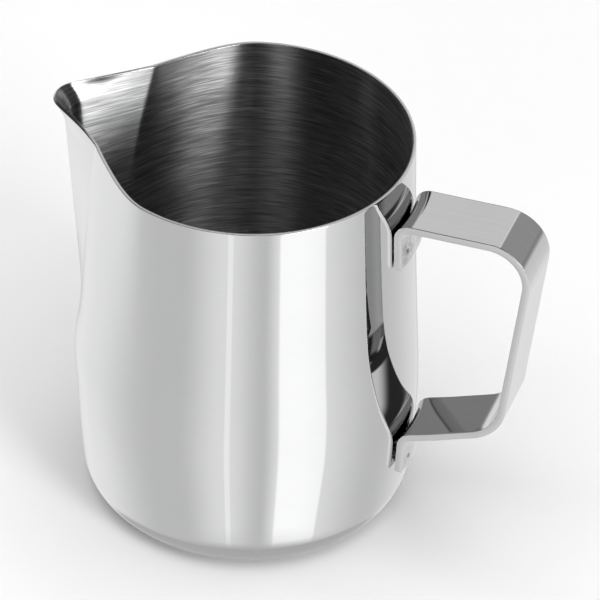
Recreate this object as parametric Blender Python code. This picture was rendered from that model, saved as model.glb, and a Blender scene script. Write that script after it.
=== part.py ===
"""Milk frothing pitcher: a deep-drawn stainless steel jug of about 600 ml with
a pinched pouring spout, and a flat strap handle spot-welded to the wall.

Frame: metres, +Z up. The origin is where the body's axis meets the surface the
pitcher stands on. The handle points to +X and the spout to -X.

Every piece is a separate object: the body shell, the handle strap and the four
weld nuggets that hold the strap's two feet to the wall.
"""
import math

import bmesh
import bpy
from mathutils import Vector

# ------------------------------------------------------------------ dimensions
# Body
HEIGHT = 0.1110           # base to rim
RIM_R = 0.0420            # outer radius at the rim
BELLY_R = 0.0455          # largest outer radius, low on the wall
BELLY_Z = 0.0320
MID_R = 0.04415           # outer radius at MID_Z, on the slope between the two
MID_Z = 0.0600
HEEL_R = 0.0094           # radius of the rounded edge between wall and base
HEEL_LEAN = math.radians(5.0)   # how far the wall already leans in where it meets that edge
HEEL_WALL_R = 0.0443      # outer radius there
SHEET = 0.0009            # sheet thickness of the body

# Pouring spout: a rounded V pressed outwards, with a flat flank on each side of
# its ridge and a pinched-in flat beside each flank, parted from it by a crease
LIP_NOSE_X = 0.0518       # nose of the ridge at the rim, before the lip's flare
NOSE_LEAN = 0.0680        # how much the nose falls back per unit of height
LIP_ROUND = 0.0078        # radius of the ridge at the rim, seen from above
LIP_ROUND_LOW = 0.0042    # the same where the creases die out
CREASE_RIM = math.radians(28.5)         # crease, as an angle from the spout's axis
CREASE_LOW = math.radians(15.0)         # the same where the crease dies out
CREASE_END_Z = 0.0550
CREASE_SOFT = math.radians(2.2)
FLAT_NORMAL = math.radians(40.7)        # direction that the pinched-in flat faces
FLAT_DISTANCE = 0.03965   # from the body's axis to that flat, at the rim
FLAT_BLEND = 0.0037       # softness where the flat runs out into the round wall
FLAT_END_Z = 0.0560       # the flat has faded out at this height
SPOUT_FADE_LOW = 0.0385   # the ridge fades into the wall between these two heights
SPOUT_FADE_HIGH = 0.054
HEEL_OF_SPOUT_Z = 0.0438  # soft swelling of the wall under the spout
HEEL_OF_SPOUT_RISE = 0.0014
HEEL_OF_SPOUT_TALL = 0.0060
HEEL_OF_SPOUT_WIDE = math.radians(26.0)
LIP_FLARE = 0.0029        # outward curl of the pouring lip
LIP_FLARE_FROM = 0.1045
LIP_FLARE_WIDE = math.radians(9.0)
LIP_DROP = 0.0010         # how far the lip's tip sits below the rim

# Handle strap
STRAP_T = 0.0020          # thickness
STRAP_W = 0.0168          # width
FOOT_GAP = 0.0003         # between each foot and the wall
LOWER_FOOT_OFF = 0.00040  # the lower foot is flatter than the belly and stands off it a little more
UPPER_FOOT_Z = 0.0860     # lower end of the upper foot
LOWER_FOOT_Z = 0.0189     # lower end of the lower foot
TOP_Z = 0.0994            # strap's middle surface where the top run starts
CORNER_X, CORNER_Z = 0.0787, 0.1006     # upper outer corner, before rounding
ELBOW_X, ELBOW_Z = 0.0726, 0.0406       # lower outer corner, before rounding
LEG_Z = 0.0306            # strap's middle surface where the lower run ends
BEND_UPPER_FOOT = 0.0035
BEND_CORNER = 0.0104
BEND_ELBOW = 0.0122
BEND_LOWER_FOOT = 0.0040
STRAP_EDGE = 0.00025      # softened edges

# Spot welds: one nugget near each edge of each foot
WELD_Y = 0.0049
WELD_Z = (0.0903, 0.0224)
NUGGET_D = 0.0036
NUGGET_T = 0.0008
POCKET_D = 0.0042         # seat of the nugget in the back of the foot
POCKET_DEEP = 0.0011

MATERIALS = {
    "polished_steel": ((0.78, 0.78, 0.79, 1.0), 0.06, 1.0),
    "strap_steel": ((0.76, 0.76, 0.77, 1.0), 0.10, 1.0),
    "weld_steel": ((0.55, 0.54, 0.53, 1.0), 0.35, 1.0),
}


# --------------------------------------------------------------------- helpers
def clear_scene():
    for obj in list(bpy.data.objects):
        bpy.data.objects.remove(obj, do_unlink=True)


def material(name):
    colour, rough, metal = MATERIALS[name]
    mat = bpy.data.materials.new(name)
    mat.use_nodes = True
    bsdf = mat.node_tree.nodes["Principled BSDF"]
    bsdf.inputs["Base Color"].default_value = colour
    bsdf.inputs["Roughness"].default_value = rough
    bsdf.inputs["Metallic"].default_value = metal
    mat.diffuse_color = colour
    return mat


def object_from(bm, name, mat):
    bmesh.ops.recalc_face_normals(bm, faces=bm.faces)
    mesh = bpy.data.meshes.new(name)
    bm.to_mesh(mesh)
    bm.free()
    obj = bpy.data.objects.new(name, mesh)
    bpy.context.scene.collection.objects.link(obj)
    mesh.materials.append(mat)
    mesh.shade_smooth()
    mesh.set_sharp_from_angle(angle=math.radians(35))
    return obj


def smoothstep(t):
    t = min(max(t, 0.0), 1.0)
    return t * t * (3.0 - 2.0 * t)


def soft_min(a, b, k):
    h = max(k - abs(a - b), 0.0) / k
    return min(a, b) - h * h * k / 4.0


def hermite(p0, m0, p1, m1, t):
    return ((2 * t ** 3 - 3 * t ** 2 + 1) * p0 + (t ** 3 - 2 * t ** 2 + t) * m0
            + (-2 * t ** 3 + 3 * t ** 2) * p1 + (t ** 3 - t ** 2) * m1)


# ------------------------------------------------------------------- body form
HEEL_TOP = HEEL_R * (1.0 - math.sin(HEEL_LEAN))   # where the heel's arc starts
FLOOR_R = HEEL_WALL_R - HEEL_R * math.cos(HEEL_LEAN)


def wall_radius(z):
    """Outer radius of the turned wall, from the heel up to the rim."""
    slope_up = -(MID_R - RIM_R) / (HEIGHT - MID_Z)            # dr/dz of the upper wall
    slope_mid = -(BELLY_R - MID_R) / (MID_Z - BELLY_Z) * 1.15
    if z >= MID_Z:
        h = HEIGHT - MID_Z
        return hermite(MID_R, slope_mid * h, RIM_R, slope_up * 0.85 * h, (z - MID_Z) / h)
    if z >= BELLY_Z:
        h = MID_Z - BELLY_Z
        return hermite(BELLY_R, 0.0, MID_R, slope_mid * h, (z - BELLY_Z) / h)
    h = BELLY_Z - HEEL_TOP
    z = max(z, HEEL_TOP)
    return hermite(HEEL_WALL_R, math.tan(HEEL_LEAN) * h, BELLY_R, 0.0, (z - HEEL_TOP) / h)


def side_radius(phi, z):
    """Outer radius beside the spout: the wall with its pinched-in flat and low swelling."""
    wall = wall_radius(z)
    c = math.cos(phi - FLAT_NORMAL)
    flat = FLAT_DISTANCE / c if c > 0.2 else 1.0
    pinch = RIM_R - soft_min(RIM_R, min(flat, RIM_R + 2 * FLAT_BLEND), FLAT_BLEND)
    depth = max(z - FLAT_END_Z, 0.0) / (HEIGHT - FLAT_END_Z)
    swell = math.exp(-0.5 * ((z - HEEL_OF_SPOUT_Z) / HEEL_OF_SPOUT_TALL) ** 2
                     - 0.5 * (phi / HEEL_OF_SPOUT_WIDE) ** 2)
    return wall - pinch * depth ** 1.2 + HEEL_OF_SPOUT_RISE * swell


def spout_radius(phi, z):
    """Outer radius over the spout at height z: rounded ridge, then a straight flank."""
    t = min(max((z - CREASE_END_Z) / (HEIGHT - CREASE_END_Z), 0.0), 1.0)
    crease = CREASE_LOW + (CREASE_RIM - CREASE_LOW) * t
    side = side_radius(phi, z)
    if phi > crease + CREASE_SOFT:
        return side
    rc = side_radius(crease, z)
    cx, cy = rc * math.cos(crease), rc * math.sin(crease)
    nose = LIP_NOSE_X - NOSE_LEAN * (HEIGHT - z)
    ridge = LIP_ROUND_LOW + (LIP_ROUND - LIP_ROUND_LOW) * t
    mid = nose - ridge                        # centre of the ridge's round
    # the flank touches that round and ends at the crease
    dx, dy = cx - mid, cy
    reach = math.hypot(dx, dy)
    normal = math.atan2(dy, dx) - math.acos(min(ridge / reach, 1.0))
    touch = math.atan2(ridge * math.sin(normal), mid + ridge * math.cos(normal))
    if phi < touch:
        return mid * math.cos(phi) + math.sqrt(ridge ** 2 - (mid * math.sin(phi)) ** 2)
    flank = (mid * math.cos(normal) + ridge) / math.cos(phi - normal)
    w = smoothstep((phi - crease + CREASE_SOFT) / (2 * CREASE_SOFT))
    return flank * (1.0 - w) + side * w


def body_point(phi, z):
    """Outer surface at angle phi from the spout's axis and at height z."""
    a = abs(phi)
    r = side_radius(a, z)
    fade = smoothstep((z - SPOUT_FADE_LOW) / (SPOUT_FADE_HIGH - SPOUT_FADE_LOW))
    if fade > 0.0 and a < CREASE_RIM + CREASE_SOFT:
        r += fade * (spout_radius(a, z) - r)
    lip = max(z - LIP_FLARE_FROM, 0.0) / (HEIGHT - LIP_FLARE_FROM)
    near = math.exp(-0.5 * (phi / LIP_FLARE_WIDE) ** 2)
    r += LIP_FLARE * lip ** 1.6 * near
    z -= LIP_DROP * lip ** 2 * near
    return Vector((-r * math.cos(phi), r * math.sin(phi), z))


def column_angles():
    """Angles from the spout's axis: close together over the spout, wider round the back."""
    half = []
    a = 0.0
    while a < 179.9:
        half.append(a)
        a += 1.5 if a < 11.9 else 3.0 if a < 35.9 else 6.0
    half.append(180.0)
    angles = half + [-x for x in reversed(half[1:-1])]
    return [math.radians(x) for x in angles]


def row_heights():
    """Heights of the rings from the rim to the top of the heel."""
    rows = [HEIGHT - 0.0025 * k for k in range(5)]
    z = rows[-1]
    while z > HEEL_TOP + 0.004:
        z -= 0.0072
        rows.append(max(z, HEEL_TOP))
    if rows[-1] > HEEL_TOP:
        rows[-1] = HEEL_TOP
    return rows


def build_body(mat):
    bm = bmesh.new()
    angles = column_angles()
    rings = []
    for z in row_heights():
        rings.append([bm.verts.new(body_point(a, z)) for a in angles])
    steps = 5
    for k in range(1, steps + 1):
        lean = HEEL_LEAN + (math.pi / 2 - HEEL_LEAN) * k / steps
        r = FLOOR_R + HEEL_R * math.cos(lean)
        z = HEEL_R * (1.0 - math.sin(lean))
        if k == steps:
            r, z = FLOOR_R, 0.0
        rings.append([bm.verts.new((-r * math.cos(a), r * math.sin(a), z)) for a in angles])
    for upper, lower in zip(rings, rings[1:]):
        for i in range(len(angles)):
            j = (i + 1) % len(angles)
            bm.faces.new((upper[i], lower[i], lower[j], upper[j]))
    centre = bm.verts.new((0.0, 0.0, 0.0))
    last = rings[-1]
    for i in range(len(angles)):
        bm.faces.new((last[i], centre, last[(i + 1) % len(angles)]))
    bmesh.ops.recalc_face_normals(bm, faces=bm.faces)
    if sum((f.normal.dot(f.calc_center_median()) for f in bm.faces)) < 0:
        bmesh.ops.reverse_faces(bm, faces=bm.faces)
    mesh = bpy.data.meshes.new("body_shell")
    bm.to_mesh(mesh)
    bm.free()
    obj = bpy.data.objects.new("body_shell", mesh)
    bpy.context.scene.collection.objects.link(obj)
    mesh.materials.append(mat)
    mesh.shade_smooth()
    mesh.set_sharp_from_angle(angle=math.radians(35))
    wall = obj.modifiers.new("sheet", "SOLIDIFY")
    wall.thickness = SHEET
    wall.offset = -1.0
    wall.use_even_offset = True
    wall.use_rim = True
    return obj


# ---------------------------------------------------------------------- handle
def strap_corners():
    """Corners of the strap's middle line in the XZ plane, with each bend's radius."""
    back = FOOT_GAP + STRAP_T / 2
    low_back = back + LOWER_FOOT_OFF
    return [
        (wall_radius(UPPER_FOOT_Z) + back, UPPER_FOOT_Z, 0.0),
        (wall_radius(TOP_Z) + back, TOP_Z, BEND_UPPER_FOOT),
        (CORNER_X, CORNER_Z, BEND_CORNER),
        (ELBOW_X, ELBOW_Z, BEND_ELBOW),
        (wall_radius(LEG_Z) + low_back, LEG_Z, BEND_LOWER_FOOT),
        (wall_radius(LOWER_FOOT_Z) + low_back, LOWER_FOOT_Z, 0.0),
    ]


def rounded_path(corners, straight_step, arc_step):
    """Points along the rounded middle line: (x, z, tangent x, tangent z)."""
    points = [Vector((c[0], c[1])) for c in corners]
    path = []
    start = points[0]
    for i in range(1, len(corners)):
        a, b = points[i - 1], points[i]
        d_in = (b - a).normalized()
        radius = corners[i][2]
        if i < len(corners) - 1:
            d_out = (points[i + 1] - b).normalized()
            turn = d_in.angle_signed(d_out)      # clockwise is positive
            cut = radius * math.tan(abs(turn) / 2)
            end = b - d_in * cut
        else:
            end, turn = b, 0.0
        length = (end - start).length
        n = max(1, round(length / straight_step))
        for k in range(n):
            p = start + (end - start) * (k / n)
            path.append((p.x, p.y, d_in.x, d_in.y))
        if i < len(corners) - 1:
            side = 1.0 if turn > 0 else -1.0
            normal = Vector((d_in.y, -d_in.x)) * side
            centre = end + normal * radius
            m = max(2, round(abs(turn) / arc_step))
            for k in range(m):
                a2 = turn * k / m
                c, s = math.cos(-a2), math.sin(-a2)
                v = end - centre
                p = centre + Vector((v.x * c - v.y * s, v.x * s + v.y * c))
                t = Vector((d_in.x * c - d_in.y * s, d_in.x * s + d_in.y * c))
                path.append((p.x, p.y, t.x, t.y))
            start = b + d_out * cut
        else:
            path.append((end.x, end.y, d_in.x, d_in.y))
    return path


def foot_weight(path, index):
    """1 on the two feet, fading to 0 along the bends next to them."""
    x, z, tx, tz = path[index]
    if x > 0.056:
        return 0.0
    return smoothstep(1.0 - (x - 0.0475) / 0.0085) * 1.0


def build_strap(mat, nuggets):
    path = rounded_path(strap_corners(), 0.0105, math.radians(15))
    widths = [STRAP_W * (k / 6.0 - 0.5) for k in range(7)]
    bm = bmesh.new()
    sheets = []
    for side in (0.5, -0.5):
        rows = []
        for i, (x, z, tx, tz) in enumerate(path):
            nx, nz = -tz, tx                      # towards the outside of the loop
            wrap = foot_weight(path, i)
            radius = wall_radius(z) + FOOT_GAP
            row = []
            for y in widths:
                sag = wrap * (math.sqrt(radius ** 2 - y ** 2) - radius)
                row.append(bm.verts.new((x + nx * side * STRAP_T + sag, y,
                                         z + nz * side * STRAP_T)))
            rows.append(row)
        sheets.append(rows)
    outer, inner = sheets
    last = len(path) - 1
    for i in range(last):
        for k in range(len(widths) - 1):
            bm.faces.new((outer[i][k], outer[i][k + 1], outer[i + 1][k + 1], outer[i + 1][k]))
            bm.faces.new((inner[i][k], inner[i + 1][k], inner[i + 1][k + 1], inner[i][k + 1]))
        for k, flip in ((0, False), (len(widths) - 1, True)):
            quad = (outer[i][k], outer[i + 1][k], inner[i + 1][k], inner[i][k])
            bm.faces.new(tuple(reversed(quad)) if flip else quad)
    for i, flip in ((0, False), (last, True)):
        for k in range(len(widths) - 1):
            quad = (outer[i][k], inner[i][k], inner[i][k + 1], outer[i][k + 1])
            bm.faces.new(tuple(reversed(quad)) if flip else quad)
    strap = object_from(bm, "handle_strap", mat)
    edge = strap.modifiers.new("softened_edges", "BEVEL")
    edge.width = STRAP_EDGE
    edge.segments = 1
    edge.limit_method = 'ANGLE'
    edge.angle_limit = math.radians(55)
    for k, nugget in enumerate(nuggets):
        cut = strap.modifiers.new("weld_seat_%d" % k, "BOOLEAN")
        cut.operation = 'DIFFERENCE'
        cut.solver = 'EXACT'
        cut.object = nugget
    return strap


# ----------------------------------------------------------------------- welds
def disc(name, diameter, back, front, y, z, mat, sides=20):
    """A short round solid whose axis is square to the wall at (y, z)."""
    wall = wall_radius(z)
    lean = math.atan2(y, math.sqrt(wall ** 2 - y ** 2))
    bm = bmesh.new()
    rings = []
    for r_axis in (back, front):
        ring = []
        for k in range(sides):
            a = 2 * math.pi * k / sides
            u, v = diameter / 2 * math.cos(a), diameter / 2 * math.sin(a)
            r = wall + r_axis
            ring.append(bm.verts.new((r * math.cos(lean) - u * math.sin(lean),
                                      r * math.sin(lean) + u * math.cos(lean), z + v)))
        rings.append(ring)
    for k in range(sides):
        j = (k + 1) % sides
        bm.faces.new((rings[0][k], rings[1][k], rings[1][j], rings[0][j]))
    bm.faces.new(rings[0])
    bm.faces.new(list(reversed(rings[1])))
    obj = object_from(bm, name, mat)
    return obj


def build_welds(mat):
    seats = []
    for level, z in zip(("upper", "lower"), WELD_Z):
        for side, y in (("left", -WELD_Y), ("right", WELD_Y)):
            disc("spot_weld_%s_%s" % (level, side), NUGGET_D,
                 FOOT_GAP, FOOT_GAP + NUGGET_T, y, z, mat)
            seat = disc("seat_%s_%s" % (level, side), POCKET_D,
                        -0.0004, FOOT_GAP + POCKET_DEEP, y, z, mat)
            seat.hide_render = True
            seat.display_type = 'WIRE'
            seats.append(seat)
    return seats


def main():
    clear_scene()
    polished = material("polished_steel")
    strap_steel = material("strap_steel")
    weld_steel = material("weld_steel")
    build_body(polished)
    seats = build_welds(weld_steel)
    build_strap(strap_steel, seats)


main()
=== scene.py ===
"""Milk frothing pitcher: the finished look of the pitcher, over its CAD frame.

The body shell and the handle strap are rebuilt on the same dimensions with a finer
mesh; the four weld nuggets keep their CAD solids. +X handle, -X spout, metres.
"""
import math

import bmesh
import bpy
from mathutils import Matrix, Vector


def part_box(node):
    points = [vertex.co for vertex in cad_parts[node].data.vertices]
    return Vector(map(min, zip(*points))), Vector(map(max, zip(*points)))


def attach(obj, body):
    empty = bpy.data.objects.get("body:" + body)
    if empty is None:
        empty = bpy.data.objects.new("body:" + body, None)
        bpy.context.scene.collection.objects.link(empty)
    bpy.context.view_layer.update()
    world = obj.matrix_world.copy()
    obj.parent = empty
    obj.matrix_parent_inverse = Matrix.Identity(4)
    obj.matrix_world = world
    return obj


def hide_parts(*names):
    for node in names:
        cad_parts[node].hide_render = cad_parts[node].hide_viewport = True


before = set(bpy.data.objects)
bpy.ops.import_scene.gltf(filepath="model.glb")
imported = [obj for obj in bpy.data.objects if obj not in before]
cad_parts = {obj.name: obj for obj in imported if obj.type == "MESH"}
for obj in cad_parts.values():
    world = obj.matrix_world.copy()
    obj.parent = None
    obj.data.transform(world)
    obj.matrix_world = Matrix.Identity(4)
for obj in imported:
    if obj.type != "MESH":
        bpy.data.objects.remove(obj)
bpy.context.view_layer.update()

# ------------------------------------------------------- dimensions, as in CAD
HEIGHT = 0.1110
RIM_R = 0.0420
BELLY_R = 0.0455
BELLY_Z = 0.0320
MID_R = 0.04415
MID_Z = 0.0600
HEEL_R = 0.0094
HEEL_LEAN = math.radians(5.0)
HEEL_WALL_R = 0.0443
SHEET = 0.0009
LIP_NOSE_X = 0.0518
NOSE_LEAN = 0.0680
LIP_ROUND = 0.0078
LIP_ROUND_LOW = 0.0042
CREASE_RIM = math.radians(28.5)
CREASE_LOW = math.radians(15.0)
CREASE_END_Z = 0.0550
CREASE_SOFT = math.radians(2.2)
FLAT_NORMAL = math.radians(40.7)
FLAT_DISTANCE = 0.03965
FLAT_BLEND = 0.0037
FLAT_END_Z = 0.0560
SPOUT_FADE_LOW = 0.0385
SPOUT_FADE_HIGH = 0.054
HEEL_OF_SPOUT_Z = 0.0438
HEEL_OF_SPOUT_RISE = 0.0014
HEEL_OF_SPOUT_TALL = 0.0060
HEEL_OF_SPOUT_WIDE = math.radians(26.0)
LIP_FLARE = 0.0029
LIP_FLARE_FROM = 0.1045
LIP_FLARE_WIDE = math.radians(9.0)
LIP_DROP = 0.0010

STRAP_T = 0.0020
STRAP_W = 0.0168
FOOT_GAP = 0.0003
LOWER_FOOT_OFF = 0.00040
UPPER_FOOT_Z = 0.0860
LOWER_FOOT_Z = 0.0189
TOP_Z = 0.0994
CORNER_X, CORNER_Z = 0.0787, 0.1006
ELBOW_X, ELBOW_Z = 0.0726, 0.0406
LEG_Z = 0.0306
BEND_UPPER_FOOT = 0.0035
BEND_CORNER = 0.0104
BEND_ELBOW = 0.0122
BEND_LOWER_FOOT = 0.0040
WELD_Y = 0.0049
WELD_Z = (0.0903, 0.0224)

HEEL_TOP = HEEL_R * (1.0 - math.sin(HEEL_LEAN))
FLOOR_R = HEEL_WALL_R - HEEL_R * math.cos(HEEL_LEAN)

# surface detail
RIM_EDGE = 0.00006        # rounding of the cut rim's two edges
STRAP_EDGE = 0.00011      # rounding of the strap's edges
DIMPLE_R = 0.0011         # weld dimple on the face away from the wall
DIMPLE_DEEP = 0.00034
DIMPLE_RING = 0.00004     # metal pushed up round it
SEAT_R = 0.0020           # seat of the nugget on the face against the wall
SEAT_DEEP = 0.0011


# ------------------------------------------------------------------ body form
def smoothstep(t):
    t = min(max(t, 0.0), 1.0)
    return t * t * (3.0 - 2.0 * t)


def soft_min(a, b, k):
    h = max(k - abs(a - b), 0.0) / k
    return min(a, b) - h * h * k / 4.0


def hermite(p0, m0, p1, m1, t):
    return ((2 * t ** 3 - 3 * t ** 2 + 1) * p0 + (t ** 3 - 2 * t ** 2 + t) * m0
            + (-2 * t ** 3 + 3 * t ** 2) * p1 + (t ** 3 - t ** 2) * m1)


def wall_radius(z):
    slope_up = -(MID_R - RIM_R) / (HEIGHT - MID_Z)
    slope_mid = -(BELLY_R - MID_R) / (MID_Z - BELLY_Z) * 1.15
    if z >= MID_Z:
        h = HEIGHT - MID_Z
        return hermite(MID_R, slope_mid * h, RIM_R, slope_up * 0.85 * h, (z - MID_Z) / h)
    if z >= BELLY_Z:
        h = MID_Z - BELLY_Z
        return hermite(BELLY_R, 0.0, MID_R, slope_mid * h, (z - BELLY_Z) / h)
    h = BELLY_Z - HEEL_TOP
    z = max(z, HEEL_TOP)
    return hermite(HEEL_WALL_R, math.tan(HEEL_LEAN) * h, BELLY_R, 0.0, (z - HEEL_TOP) / h)


def side_radius(phi, z):
    wall = wall_radius(z)
    c = math.cos(phi - FLAT_NORMAL)
    flat = FLAT_DISTANCE / c if c > 0.2 else 1.0
    pinch = RIM_R - soft_min(RIM_R, min(flat, RIM_R + 2 * FLAT_BLEND), FLAT_BLEND)
    depth = max(z - FLAT_END_Z, 0.0) / (HEIGHT - FLAT_END_Z)
    swell = math.exp(-0.5 * ((z - HEEL_OF_SPOUT_Z) / HEEL_OF_SPOUT_TALL) ** 2
                     - 0.5 * (phi / HEEL_OF_SPOUT_WIDE) ** 2)
    return wall - pinch * depth ** 1.2 + HEEL_OF_SPOUT_RISE * swell


def spout_radius(phi, z):
    t = min(max((z - CREASE_END_Z) / (HEIGHT - CREASE_END_Z), 0.0), 1.0)
    crease = CREASE_LOW + (CREASE_RIM - CREASE_LOW) * t
    side = side_radius(phi, z)
    if phi > crease + CREASE_SOFT:
        return side
    rc = side_radius(crease, z)
    cx, cy = rc * math.cos(crease), rc * math.sin(crease)
    nose = LIP_NOSE_X - NOSE_LEAN * (HEIGHT - z)
    ridge = LIP_ROUND_LOW + (LIP_ROUND - LIP_ROUND_LOW) * t
    mid = nose - ridge
    dx, dy = cx - mid, cy
    reach = math.hypot(dx, dy)
    normal = math.atan2(dy, dx) - math.acos(min(ridge / reach, 1.0))
    touch = math.atan2(ridge * math.sin(normal), mid + ridge * math.cos(normal))
    if phi < touch:
        return mid * math.cos(phi) + math.sqrt(ridge ** 2 - (mid * math.sin(phi)) ** 2)
    flank = (mid * math.cos(normal) + ridge) / math.cos(phi - normal)
    w = smoothstep((phi - crease + CREASE_SOFT) / (2 * CREASE_SOFT))
    return flank * (1.0 - w) + side * w


def body_point(phi, z):
    a = abs(phi)
    r = side_radius(a, z)
    fade = smoothstep((z - SPOUT_FADE_LOW) / (SPOUT_FADE_HIGH - SPOUT_FADE_LOW))
    if fade > 0.0 and a < CREASE_RIM + CREASE_SOFT:
        r += fade * (spout_radius(a, z) - r)
    lip = max(z - LIP_FLARE_FROM, 0.0) / (HEIGHT - LIP_FLARE_FROM)
    near = math.exp(-0.5 * (phi / LIP_FLARE_WIDE) ** 2)
    r += LIP_FLARE * lip ** 1.6 * near
    z -= LIP_DROP * lip ** 2 * near
    return Vector((-r * math.cos(phi), r * math.sin(phi), z))


def link(mesh, name):
    obj = bpy.data.objects.new(name, mesh)
    bpy.context.scene.collection.objects.link(obj)
    return obj


def build_body(materials):
    """Outer skin of the shell, then its sheet thickness, then the rounded cut rim."""
    half, a = [], 0.0
    while a < 179.9:
        half.append(a)
        a += 0.6 if a < 46.0 else 1.0
    half.append(180.0)
    angles = [math.radians(x) for x in half + [-x for x in reversed(half[1:-1])]]
    heights = [HEIGHT - 0.0008 * k for k in range(11)]
    while heights[-1] > HEEL_TOP + 0.0016:
        heights.append(heights[-1] - 0.00115)
    heights[-1] = HEEL_TOP
    (bx0, by0, bz0), (bx1, by1, bz1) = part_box("body_shell")
    bm = bmesh.new()
    rings = []
    for z in heights:
        ring = []
        for ang in angles:
            p = body_point(ang, z)
            ring.append(bm.verts.new((max(p.x, bx0), min(max(p.y, by0), by1), p.z)))
        rings.append(ring)
    steps = 14
    for k in range(1, steps + 1):
        lean = HEEL_LEAN + (math.pi / 2 - HEEL_LEAN) * k / steps
        r = FLOOR_R + HEEL_R * math.cos(lean)
        z = HEEL_R * (1.0 - math.sin(lean))
        if k == steps:
            r, z = FLOOR_R, 0.0
        rings.append([bm.verts.new((-r * math.cos(g), r * math.sin(g), z)) for g in angles])
    for r in [FLOOR_R * (1.0 - k / 7.0) for k in range(1, 7)]:
        rings.append([bm.verts.new((-r * math.cos(g), r * math.sin(g), 0.0)) for g in angles])
    n = len(angles)
    for upper, lower in zip(rings, rings[1:]):
        for i in range(n):
            j = (i + 1) % n
            bm.faces.new((upper[i], lower[i], lower[j], upper[j]))
    centre = bm.verts.new((0.0, 0.0, 0.0))
    for i in range(n):
        bm.faces.new((rings[-1][i], centre, rings[-1][(i + 1) % n]))
    bmesh.ops.recalc_face_normals(bm, faces=bm.faces)
    if sum(f.normal.dot(f.calc_center_median()) for f in bm.faces) < 0:
        bmesh.ops.reverse_faces(bm, faces=bm.faces)
    mesh = bpy.data.meshes.new("pitcher_body")
    bm.to_mesh(mesh)
    bm.free()
    for mat in materials:
        mesh.materials.append(mat)
    mesh.shade_smooth()
    obj = link(mesh, "pitcher_body")
    sheet = obj.modifiers.new("sheet", 'SOLIDIFY')
    sheet.thickness = SHEET
    sheet.offset = -1.0
    sheet.use_even_offset = True
    sheet.use_rim = True
    sheet.material_offset = 1
    sheet.material_offset_rim = 2
    edge = obj.modifiers.new("rim_edge", 'BEVEL')
    edge.width = RIM_EDGE
    edge.segments = 3
    edge.limit_method = 'ANGLE'
    edge.angle_limit = math.radians(50)
    edge.harden_normals = False
    edge.material = 2
    return obj


# --------------------------------------------------------------------- handle
def strap_corners():
    back = FOOT_GAP + STRAP_T / 2
    low_back = back + LOWER_FOOT_OFF
    return [
        (wall_radius(UPPER_FOOT_Z) + back, UPPER_FOOT_Z, 0.0),
        (wall_radius(TOP_Z) + back, TOP_Z, BEND_UPPER_FOOT),
        (CORNER_X, CORNER_Z, BEND_CORNER),
        (ELBOW_X, ELBOW_Z, BEND_ELBOW),
        (wall_radius(LEG_Z) + low_back, LEG_Z, BEND_LOWER_FOOT),
        (wall_radius(LOWER_FOOT_Z) + low_back, LOWER_FOOT_Z, 0.0),
    ]


def rounded_path(corners, step):
    """Points along the strap's rounded middle line: (x, z, tangent x, tangent z)."""
    points = [Vector((c[0], c[1])) for c in corners]
    path, start = [], points[0]
    for i in range(1, len(corners)):
        a, b = points[i - 1], points[i]
        d_in = (b - a).normalized()
        radius = corners[i][2]
        turn, end = 0.0, b
        if i < len(corners) - 1:
            d_out = (points[i + 1] - b).normalized()
            turn = d_in.angle_signed(d_out)
            cut = radius * math.tan(abs(turn) / 2)
            end = b - d_in * cut
        n = max(1, round((end - start).length / step))
        for k in range(n):
            p = start + (end - start) * (k / n)
            path.append((p.x, p.y, d_in.x, d_in.y))
        if i < len(corners) - 1:
            side = 1.0 if turn > 0 else -1.0
            centre = end + Vector((d_in.y, -d_in.x)) * side * radius
            m = max(6, round(abs(turn) * (radius + 0.001) / step))
            for k in range(m):
                c, s = math.cos(-turn * k / m), math.sin(-turn * k / m)
                v = end - centre
                p = centre + Vector((v.x * c - v.y * s, v.x * s + v.y * c))
                path.append((p.x, p.y, d_in.x * c - d_in.y * s, d_in.x * s + d_in.y * c))
            start = b + d_out * cut
        else:
            path.append((end.x, end.y, d_in.x, d_in.y))
    return path


def weld_shape(y, z, off_wall):
    """Depth pressed into a foot's face at (y, z): the nugget's seat or the dimple behind it."""
    depth = 0.0
    for wz in WELD_Z:
        for wy in (-WELD_Y, WELD_Y):
            d = math.hypot(y - wy, z - wz)
            if off_wall:
                bowl = 1.0 - smoothstep(d / DIMPLE_R)
                ring = math.exp(-((d - DIMPLE_R * 1.12) / 0.00035) ** 2)
                depth += DIMPLE_DEEP * bowl - DIMPLE_RING * ring
            else:
                depth += SEAT_DEEP * (1.0 - smoothstep((d - SEAT_R) / 0.0005))
    return depth


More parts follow.
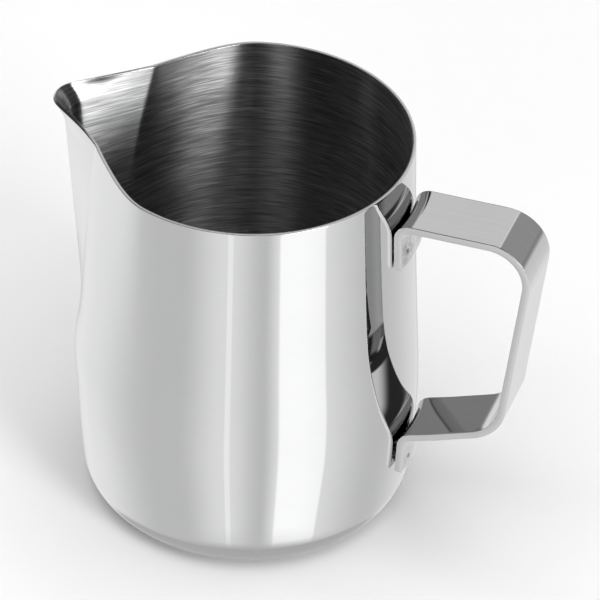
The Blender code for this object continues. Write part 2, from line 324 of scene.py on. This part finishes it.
def build_strap(mat):
    path = rounded_path(strap_corners(), 0.00042)
    half_t, half_w, r = STRAP_T / 2, STRAP_W / 2, STRAP_EDGE
    # closed cross-section, offsets (across, through), from the outer face round to the inner
    flat = 38
    section = []
    for k in range(flat + 1):
        section.append((-half_w + r + (2 * half_w - 2 * r) * k / flat, half_t, 1))
    for k in range(1, 4):
        t = math.pi / 2 * k / 4
        section.append((half_w - r + r * math.sin(t), half_t - r + r * math.cos(t), 0))
    section.append((half_w, half_t - r, 0))
    section.append((half_w, -half_t + r, 0))
    for k in range(1, 4):
        t = math.pi / 2 * k / 4
        section.append((half_w - r + r * math.cos(t), -half_t + r - r * math.sin(t), 0))
    for k in range(flat + 1):
        section.append((half_w - r - (2 * half_w - 2 * r) * k / flat, -half_t, -1))
    for k in range(1, 4):
        t = math.pi / 2 * k / 4
        section.append((-half_w + r - r * math.sin(t), -half_t + r - r * math.cos(t), 0))
    section.append((-half_w, -half_t + r, 0))
    section.append((-half_w, half_t - r, 0))
    for k in range(1, 4):
        t = math.pi / 2 * k / 4
        section.append((-half_w + r - r * math.cos(t), half_t - r + r * math.sin(t), 0))
    (bx0, by0, bz0), (bx1, by1, bz1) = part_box("handle_strap")
    bm = bmesh.new()
    rings = []
    last = len(path) - 1
    length = [0.0]
    for p, q in zip(path, path[1:]):
        length.append(length[-1] + math.hypot(q[0] - p[0], q[1] - p[1]))
    total = length[-1]
    for i, (x, z, tx, tz) in enumerate(path):
        nx, nz = -tz, tx
        wrap = 0.0 if x > 0.056 else smoothstep(1.0 - (x - 0.0475) / 0.0085)
        radius = wall_radius(z) + FOOT_GAP
        end = min(length[i], total - length[i])
        pull = 0.0
        if end < r:                              # the two cut ends are eased too
            pull = r - math.sqrt(max(r * r - (r - end) ** 2, 0.0))
        ring = []
        upper = i < len(path) // 2
        for across, through, face in section:
            sag = wrap * (math.sqrt(radius ** 2 - across ** 2) - radius)
            deep = 0.0
            if face and wrap > 0.6 and abs(tz) > 0.9:
                # towards the wall: outer face on the upper foot, inner face on the lower one
                wall_side = (face > 0) == upper
                deep = weld_shape(across, z, not wall_side)
            t = through - (through / abs(through)) * (deep + (pull if abs(through) > half_t - r else 0.0))
            px, pz = x + nx * t + sag, z + nz * t
            ring.append(bm.verts.new((min(max(px, bx0), bx1), min(max(across, by0), by1),
                                      min(max(pz, bz0), bz1))))
        rings.append(ring)
    n = len(section)
    for a, b in zip(rings, rings[1:]):
        for k in range(n):
            m = (k + 1) % n
            bm.faces.new((a[k], a[m], b[m], b[k]))
    for ring in (rings[0], rings[-1]):
        ends = [ring[k] for k in range(n)]
        top, low = ends[:flat + 1], list(reversed(ends[flat + 8:2 * flat + 9]))
        for k in range(flat):
            bm.faces.new((top[k], top[k + 1], low[k + 1], low[k]))
        bm.faces.new([top[flat]] + ends[flat + 1:flat + 8] + [low[flat]])
        bm.faces.new([low[0]] + ends[2 * flat + 9:] + [top[0]])
    bmesh.ops.recalc_face_normals(bm, faces=bm.faces)
    mesh = bpy.data.meshes.new("pitcher_handle")
    bm.to_mesh(mesh)
    bm.free()
    mesh.materials.append(mat)
    mesh.shade_smooth()
    mesh.set_sharp_from_angle(angle=math.radians(48))
    return link(mesh, "pitcher_handle")


# ------------------------------------------------------------------ materials
class Nodes:
    """Small helper that makes and links shader nodes."""

    def __init__(self, tree):
        self.tree = tree
        tree.nodes.clear()

    def add(self, kind, inputs=None, **facts):
        node = self.tree.nodes.new(kind)
        for key, value in facts.items():
            setattr(node, key, value)
        for key, value in (inputs or {}).items():
            if hasattr(value, "is_output"):
                self.tree.links.new(value, node.inputs[key])
            else:
                node.inputs[key].default_value = value
        return node

    def math(self, operation, *values, clamp=False):
        node = self.add("ShaderNodeMath", operation=operation, use_clamp=clamp)
        for k, value in enumerate(values):
            if hasattr(value, "is_output"):
                self.tree.links.new(value, node.inputs[k])
            else:
                node.inputs[k].default_value = value
        return node.outputs[0]

    def spread(self, value, low, high, to_low, to_high, kind='LINEAR'):
        node = self.add("ShaderNodeMapRange", {0: value, 1: low, 2: high, 3: to_low, 4: to_high},
                        interpolation_type=kind)
        return node.outputs[0]

    def vector(self, x, y, z):
        return self.add("ShaderNodeCombineXYZ", {0: x, 1: y, 2: z}).outputs[0]

    def noise(self, vector, scale, detail=2.0, rough=0.5):
        node = self.add("ShaderNodeTexNoise", {"Vector": vector, "Scale": scale, "Detail": detail,
                                               "Roughness": rough})
        return node.outputs[0]


def new_material(name, view_colour):
    mat = bpy.data.materials.new(name)
    mat.use_nodes = True
    mat.diffuse_color = view_colour
    return mat, Nodes(mat.node_tree)


def round_coordinates(n):
    """Position, radius from the axis, cosine and sine of the angle round it, and height, in metres."""
    place = n.add("ShaderNodeTexCoord").outputs["Object"]
    split = n.add("ShaderNodeSeparateXYZ", {0: place})
    x, y, z = split.outputs[0], split.outputs[1], split.outputs[2]
    radius = n.math('SQRT', n.math('ADD', n.math('MULTIPLY', x, x), n.math('MULTIPLY', y, y)))
    # cosine and sine of the angle, so that nothing has a seam at the back
    cx = n.math('DIVIDE', x, n.math('MAXIMUM', radius, 0.001))
    cy = n.math('DIVIDE', y, n.math('MAXIMUM', radius, 0.001))
    return place, radius, cx, cy, z


def shader(n, colour, rough, bumps, anisotropic=0.0, tangent=None, metal=1.0):
    """Principled metal with its bumps chained; each is (height, strength, distance)."""
    normal = None
    for height, strength, distance in bumps:
        inputs = {"Height": height, "Strength": strength, "Distance": distance}
        if normal is not None:
            inputs["Normal"] = normal
        normal = n.add("ShaderNodeBump", inputs).outputs[0]
    inputs = {"Base Color": colour, "Roughness": rough, "Metallic": metal}
    if normal is not None:
        inputs["Normal"] = normal
    if tangent is not None:
        inputs["Tangent"] = tangent
    node = n.add("ShaderNodeBsdfPrincipled", inputs)
    node.inputs["Anisotropic"].default_value = anisotropic
    n.add("ShaderNodeOutputMaterial", {"Surface": node.outputs[0]})
    return node


def mix_colour(n, factor, a, b):
    node = n.add("ShaderNodeMix", data_type='RGBA')
    n.tree.links.new(factor, node.inputs[0])
    node.inputs[6].default_value = a
    node.inputs[7].default_value = b
    return node.outputs[2]


def polished_steel():
    """Outside of the body: buffed to a mirror, with hairlines, faint wipe marks and handling wear."""
    mat, n = new_material("polished_steel_outside", (0.7, 0.7, 0.7, 1))
    place, radius, cx, cy, z = round_coordinates(n)
    around = n.vector(n.math('MULTIPLY', cx, 1.5), n.math('MULTIPLY', cy, 1.5), n.math('MULTIPLY', z, 900.0))
    buff = n.noise(around, 5.0, 3.0, 0.6)                    # buffing lines round the body
    hair = n.noise(n.vector(n.math('MULTIPLY', cx, 40.0), n.math('MULTIPLY', cy, 40.0),
                            n.math('MULTIPLY', z, 5200.0)), 1.0, 1.0, 0.5)
    wipe = n.noise(place, 38.0, 4.0, 0.6)                    # wiped film, 25 mm patches
    scratch_at = n.add("ShaderNodeMapping", {"Vector": place, "Rotation": (0.5, 0.9, 0.35),
                                             "Scale": (260.0, 2600.0, 260.0)}).outputs[0]
    scratch = n.spread(n.noise(scratch_at, 1.0, 2.0, 0.5), 0.70, 0.78, 0.0, 1.0)
    low_wear = n.spread(z, 0.010, 0.0, 0.0, 1.0, 'SMOOTHSTEP')     # rubbed where it stands
    rim_wear = n.spread(z, 0.1085, 0.1112, 0.0, 1.0, 'SMOOTHSTEP')
    wear = n.math('MAXIMUM', low_wear, n.math('MULTIPLY', rim_wear, 0.6))
    rough = n.math('ADD', n.spread(wipe, 0.35, 0.75, 0.012, 0.042),
                   n.math('ADD', n.math('MULTIPLY', scratch, 0.05), n.math('MULTIPLY', wear, 0.10)))
    tone = n.math('ADD', n.math('MULTIPLY', wipe, 0.55), n.math('MULTIPLY', buff, 0.45))
    colour = mix_colour(n, n.spread(tone, 0.35, 0.65, 0.0, 1.0), (0.672, 0.674, 0.678, 1), (0.696, 0.697, 0.698, 1))
    shader(n, colour, rough, [(buff, 0.030, 0.00002), (hair, 0.02, 0.00001), (scratch, 0.05, 0.00001)])
    return mat


def brushed_steel():
    """Inside of the body: turned with abrasive, so fine lines run round it."""
    mat, n = new_material("brushed_steel_inside", (0.6, 0.6, 0.6, 1))
    place, radius, cx, cy, z = round_coordinates(n)
    # the lines run round the wall, and round the centre on the floor
    on_floor = n.spread(z, 0.0040, 0.0100, 1.0, 0.0, 'SMOOTHSTEP')
    level = n.math('ADD', z, n.math('MULTIPLY', radius, on_floor))
    fine = n.noise(n.vector(n.math('MULTIPLY', cx, 2.2), n.math('MULTIPLY', cy, 2.2),
                            n.math('MULTIPLY', level, 5200.0)), 1.0, 2.0, 0.6)
    coarse = n.noise(n.vector(n.math('MULTIPLY', cx, 3.0), n.math('MULTIPLY', cy, 3.0),
                              n.math('MULTIPLY', level, 900.0)), 1.0, 2.0, 0.55)
    broken = n.noise(n.vector(n.math('MULTIPLY', cx, 6.0), n.math('MULTIPLY', cy, 6.0),
                              n.math('MULTIPLY', level, 3400.0)), 1.0, 1.0, 0.6)
    hair = n.spread(n.noise(n.vector(n.math('MULTIPLY', cx, 4.0), n.math('MULTIPLY', cy, 4.0),
                                     n.math('MULTIPLY', level, 2700.0)), 1.0, 1.0, 0.5), 0.57, 0.66, 0.0, 1.0)
    film = n.noise(place, 60.0, 3.0, 0.55)
    lines = n.math('ADD', n.math('MULTIPLY', fine, 0.5), n.math('MULTIPLY', broken, 0.5))
    rough = n.math('ADD', n.spread(lines, 0.3, 0.7, 0.28, 0.38), n.spread(film, 0.3, 0.7, -0.02, 0.03))
    colour = mix_colour(n, n.math('ADD', n.math('MULTIPLY', hair, 0.4), n.spread(n.math('ADD', n.math('MULTIPLY', lines, 0.7), n.math('MULTIPLY', coarse, 0.3)),
                                    0.41, 0.60, 0.0, 0.7), clamp=True), (0.36, 0.36, 0.365, 1), (0.92, 0.92, 0.92, 1))
    around = n.vector(n.math('MULTIPLY', cy, -1.0), cx, 0.0)
    steel = shader(n, colour, rough, [(broken, 0.35, 0.00004), (fine, 0.35, 0.00003)],
                   anisotropic=1.0, tangent=around)
    steel.inputs["Anisotropic Rotation"].default_value = 0.25      # drawn out across the lines
    return mat


def rim_steel():
    """Cut edge of the sheet at the rim: ground flat and eased, a little brighter where it is worn."""
    mat, n = new_material("rim_cut_steel", (0.75, 0.75, 0.75, 1))
    place, radius, cx, cy, z = round_coordinates(n)
    grind = n.noise(n.vector(n.math('MULTIPLY', cx, 8.0), n.math('MULTIPLY', cy, 8.0),
                             n.math('MULTIPLY', radius, 6000.0)), 1.0, 2.0, 0.6)
    nicks = n.spread(n.noise(place, 420.0, 2.0, 0.5), 0.66, 0.74, 0.0, 1.0)
    rough = n.math('ADD', n.spread(grind, 0.3, 0.7, 0.14, 0.26), n.math('MULTIPLY', nicks, 0.08))
    colour = mix_colour(n, n.spread(grind, 0.35, 0.65, 0.0, 1.0), (0.70, 0.70, 0.70, 1), (0.80, 0.80, 0.80, 1))
    shader(n, colour, rough, [(grind, 0.10, 0.00002), (nicks, 0.08, 0.00002)])
    return mat


def strap_steel():
    """Handle strap: polished along its length, dulled at the edges, heat-tinted and painted darker round the welds
    (part heat tint, part painted shade), with painted shade in each weld dimple.
    """
    mat, n = new_material("strap_steel_polished", (0.7, 0.7, 0.7, 1))
    place = n.add("ShaderNodeTexCoord").outputs["Object"]
    split = n.add("ShaderNodeSeparateXYZ", {0: place})
    x, y, z = split.outputs[0], split.outputs[1], split.outputs[2]
    along = n.noise(n.vector(n.math('MULTIPLY', x, 22.0), n.math('MULTIPLY', y, 3800.0),
                             n.math('MULTIPLY', z, 22.0)), 1.0, 2.0, 0.6)
    film = n.noise(place, 70.0, 4.0, 0.6)
    scratch_at = n.add("ShaderNodeMapping", {"Vector": place, "Rotation": (0.2, 0.4, 1.1),
                                             "Scale": (300.0, 3000.0, 300.0)}).outputs[0]
    scratch = n.spread(n.noise(scratch_at, 1.0, 2.0, 0.5), 0.68, 0.77, 0.0, 1.0)
    edge = n.spread(n.math('ABSOLUTE', y), STRAP_W / 2 - 0.0009, STRAP_W / 2, 0.0, 1.0, 'SMOOTHSTEP')
    heat_tint_and_shade, painted_pit_shade = None, None
    # the feet go darker round the welds near the wall, most on the upper foot: part heat tint, part painted shade
    for wz, amount in zip(WELD_Z, (1.0, 0.35)):
        dz = n.math('SUBTRACT', z, wz)
        dy = n.math('SUBTRACT', n.math('ABSOLUTE', y), WELD_Y)
        d = n.math('SQRT', n.math('ADD', n.math('MULTIPLY', dy, dy), n.math('MULTIPLY', dz, dz)))
        ring = n.spread(d, 0.0016, 0.0062, amount, 0.0, 'SMOOTHSTEP')
        spot = n.spread(d, 0.0003, 0.0009, 1.0, 0.0, 'SMOOTHSTEP')
        heat_tint_and_shade = ring if heat_tint_and_shade is None else n.math('MAXIMUM', heat_tint_and_shade, ring)
        painted_pit_shade = spot if painted_pit_shade is None else n.math('MAXIMUM', painted_pit_shade, spot)
    near_wall = n.spread(x, 0.0490, 0.0515, 1.0, 0.0, 'SMOOTHSTEP')
    patches = n.spread(n.noise(place, 620.0, 3.0, 0.6), 0.40, 0.62, 0.25, 1.0)
    heat_tint_and_shade = n.math('MULTIPLY', n.math('MULTIPLY', heat_tint_and_shade, near_wall), patches, clamp=True)
    heat_tint_and_shade = n.math('MULTIPLY', heat_tint_and_shade, n.spread(n.math('ABSOLUTE', y), 0.0072, 0.0082, 1.0, 0.0, 'SMOOTHSTEP'))
    painted_pit_shade = n.math('MULTIPLY', painted_pit_shade, near_wall)
    grain = n.noise(place, 900.0, 3.0, 0.6)
    rough = n.math('ADD', n.math('ADD', n.spread(film, 0.3, 0.7, 0.035, 0.075), n.math('MULTIPLY', edge, 0.10)),
                   n.math('ADD', n.math('MULTIPLY', scratch, 0.06), n.math('MULTIPLY', heat_tint_and_shade, 0.22)))
    base = mix_colour(n, n.spread(n.math('ADD', n.math('MULTIPLY', along, 0.6), n.math('MULTIPLY', film, 0.4)),
                                  0.35, 0.65, 0.0, 1.0), (0.655, 0.656, 0.66, 1), (0.70, 0.70, 0.70, 1))
    # mixes in the heat tint and painted shade round the welds
    heat_tint_and_shade_mix = n.add("ShaderNodeMix", data_type='RGBA')
    n.tree.links.new(heat_tint_and_shade, heat_tint_and_shade_mix.inputs[0])
    n.tree.links.new(base, heat_tint_and_shade_mix.inputs[6])
    heat_tint_and_shade_mix.inputs[7].default_value = (0.40, 0.395, 0.39, 1)
    # painted shade: a dark spot in each weld dimple
    dark = n.add("ShaderNodeMix", data_type='RGBA')
    n.tree.links.new(painted_pit_shade, dark.inputs[0])
    n.tree.links.new(heat_tint_and_shade_mix.outputs[2], dark.inputs[6])
    dark.inputs[7].default_value = (0.20, 0.195, 0.19, 1)
    shader(n, dark.outputs[2], rough,
           [(along, 0.025, 0.00002), (n.math('MULTIPLY', grain, heat_tint_and_shade), 0.35, 0.00005), (scratch, 0.05, 0.00001)])
    return mat


def weld_steel():
    """Weld nuggets between foot and wall: scaled, heat-tinted metal."""
    mat, n = new_material("weld_nugget_steel", (0.5, 0.5, 0.5, 1))
    place = n.add("ShaderNodeTexCoord").outputs["Object"]
    scale_noise = n.noise(place, 1400.0, 4.0, 0.65)
    patch = n.noise(place, 420.0, 2.0, 0.5)
    colour = mix_colour(n, n.spread(patch, 0.35, 0.65, 0.0, 1.0), (0.34, 0.31, 0.28, 1), (0.50, 0.49, 0.48, 1))
    rough = n.spread(scale_noise, 0.3, 0.7, 0.32, 0.55)
    shader(n, colour, rough, [(scale_noise, 0.4, 0.00006), (patch, 0.2, 0.0001)])
    return mat


def floor_paper():
    """Studio sweep: matt pale paper with a faint tooth."""
    mat, n = new_material("floor_paper", (0.9, 0.9, 0.9, 1))
    place = n.add("ShaderNodeTexCoord").outputs["Object"]
    tooth = n.noise(place, 900.0, 3.0, 0.6)
    cloud = n.noise(place, 3.0, 2.0, 0.5)
    colour = mix_colour(n, n.spread(cloud, 0.3, 0.7, 0.0, 1.0), (0.86, 0.86, 0.86, 1), (0.88, 0.88, 0.88, 1))
    shader(n, colour, n.spread(tooth, 0.3, 0.7, 0.85, 0.95), [(tooth, 0.05, 0.0001)], metal=0.0)
    return mat


# --------------------------------------------------------------- studio light
STEEL = 0.69              # what the polished steel gives back, to turn a wanted tone into light


def studio(panels, base_low, base_high):
    """Light tent round the table: a plain surround with soft panels and dark flags.

    A panel is (azimuth, half width, fade left, fade right, low, high, fade, light): degrees
    round and above the table, light added to the surround (a flag's light is below zero).
    The fades left and right lie outside the half width.
    """
    world = bpy.data.worlds.new("studio")
    bpy.context.scene.world = world
    world.use_nodes = True
    n = Nodes(world.node_tree)
    way = n.add("ShaderNodeTexCoord").outputs["Generated"]
    split = n.add("ShaderNodeSeparateXYZ", {0: way})
    azimuth = n.math('MULTIPLY', n.math('ARCTAN2', split.outputs[1], split.outputs[0]), 180 / math.pi)
    height = n.math('MULTIPLY', n.math('ARCSINE', split.outputs[2]), 180 / math.pi)
    total = n.spread(height, -6.0, 6.0, base_low, base_high, 'SMOOTHSTEP')
    for at, half, left, right, low, high, fade, light in panels:
        off = n.math('WRAP', n.math('SUBTRACT', azimuth, float(at)), -180.0, 180.0)
        a = n.spread(off, -half - left, -half, 0.0, 1.0, 'SMOOTHSTEP')
        b = n.spread(off, half, half + right, 1.0, 0.0, 'SMOOTHSTEP')
        c = n.spread(height, low - fade / 2, low + fade / 2, 0.0, 1.0, 'SMOOTHSTEP')
        d = n.spread(height, high - fade / 2, high + fade / 2, 1.0, 0.0, 'SMOOTHSTEP')
        w = n.math('MULTIPLY', n.math('MULTIPLY', a, b), n.math('MULTIPLY', c, d))
        total = n.math('ADD', total, n.math('MULTIPLY', w, float(light)))
    total = n.math('MAXIMUM', total, 0.004)
    glow = n.add("ShaderNodeBackground", {"Color": n.add("ShaderNodeCombineColor",
                                                        {0: total, 1: total, 2: total}).outputs[0],
                                          "Strength": 1.0})
    n.add("ShaderNodeOutputWorld", {"Surface": glow.outputs[0]})


PANELS = [
    # below the table edge: what the upright walls give back
    (158, 8, 46, 62, -52, -4, 6, 0.215 / STEEL),       # wash from the left
    (-84, 1, 32, 25, -52, -4, 6, 0.210 / STEEL),       # narrow soft panel in front
    (-82.5, 1.3, 1, 1, -52, -4, 6, 0.110 / STEEL),     # its bright slit
    (-32.7, 15.3, 2, 2, -52, -4, 6, 0.21 / STEEL),          # strip, sharp on both sides
    (-41.5, 4.5, 14, 66, -52, -4, 6, 0.27 / STEEL),    # the glow round it
    (80, 6, 44, 24, -52, -4, 6, 0.115 / STEEL),        # behind the handle
    (109, 181, 1, 1, -90, -54, 5, -0.10 / STEEL),      # the table right under it is darker
    (111, 8, 14, 14, -60, -26, 8, -0.08 / STEEL),
    # above the table: what the handle's top and the inside give back
    (98, 15, 3, 3, 28, 47, 6, 0.50 / STEEL),
    (61, 20, 14, 4, 3, 44, 10, 0.225 / STEEL),
    (124, 34, 8, 10, 2, 27, 8, 0.15 / STEEL),
    # upright strip box in front, brightest low down, and a weak one to its left
    (-29, 9, 4, 2.5, 4, 20, 6, 11.0),
    (-29, 9, 4, 2.5, 20, 41, 6, 5.2),
    (-29, 8, 4, 2.5, 41, 64, 8, 3.4),
    (-90, 3, 8, 8, 6, 60, 10, 1.2),
    (52, 22, 20, 20, 63, 84, 10, 1.0),
]
studio(PANELS, 0.479 / STEEL, 0.035)

floor_mesh = bpy.data.meshes.new("studio_floor")
bm = bmesh.new()
bmesh.ops.create_grid(bm, x_segments=4, y_segments=4, size=3.0)
for v in bm.verts:
    v.co.z = -0.0002
bm.to_mesh(floor_mesh)
bm.free()
floor_mesh.materials.append(floor_paper())
floor = link(floor_mesh, "studio_floor")
floor.visible_glossy = False

# soft overhead box that lights the paper, kept out of the steel's reflections
lamp = bpy.data.lights.new("overhead", 'AREA')
lamp.shape = 'DISK'
lamp.size = 2.6
lamp.energy = 42.0
lamp_obj = bpy.data.objects.new("overhead", lamp)
lamp_obj.location = (-0.2, -0.2, 1.9)
lamp_obj.visible_glossy = False
bpy.context.scene.collection.objects.link(lamp_obj)

# --------------------------------------------------------------------- pieces
body = build_body([polished_steel(), brushed_steel(), rim_steel()])
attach(body, "root")
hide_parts("body_shell")

strap = build_strap(strap_steel())
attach(strap, "root")
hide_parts("handle_strap")

weld = weld_steel()
for name in ("spot_weld_upper_left", "spot_weld_upper_right", "spot_weld_lower_left", "spot_weld_lower_right"):
    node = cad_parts[name]
    for place in node.material_slots:
        place.material = weld

# --------------------------------------------------------------------- camera
RIGHT = Vector((0.936184, 0.350896, 0.020754)).normalized()
UP = Vector((-0.233831, 0.577597, 0.782116))
UP = (UP - RIGHT * UP.dot(RIGHT)).normalized()
BACK = RIGHT.cross(UP)
cam = bpy.data.cameras.new("camera")
cam.lens = 240.0
cam.sensor_width = 36.0
cam.clip_start = 0.05
cam.clip_end = 20.0
camera = bpy.data.objects.new("camera", cam)
spin = Matrix((RIGHT, UP, BACK)).transposed().to_4x4()
camera.matrix_world = Matrix.Translation((0.289612, -0.773434, 0.715019)) @ spin
bpy.context.scene.collection.objects.link(camera)
bpy.context.scene.camera = camera
bpy.context.scene.view_settings.view_transform = 'Standard'

# ----------------------------------------------------------------------- final update
bpy.context.view_layer.update()
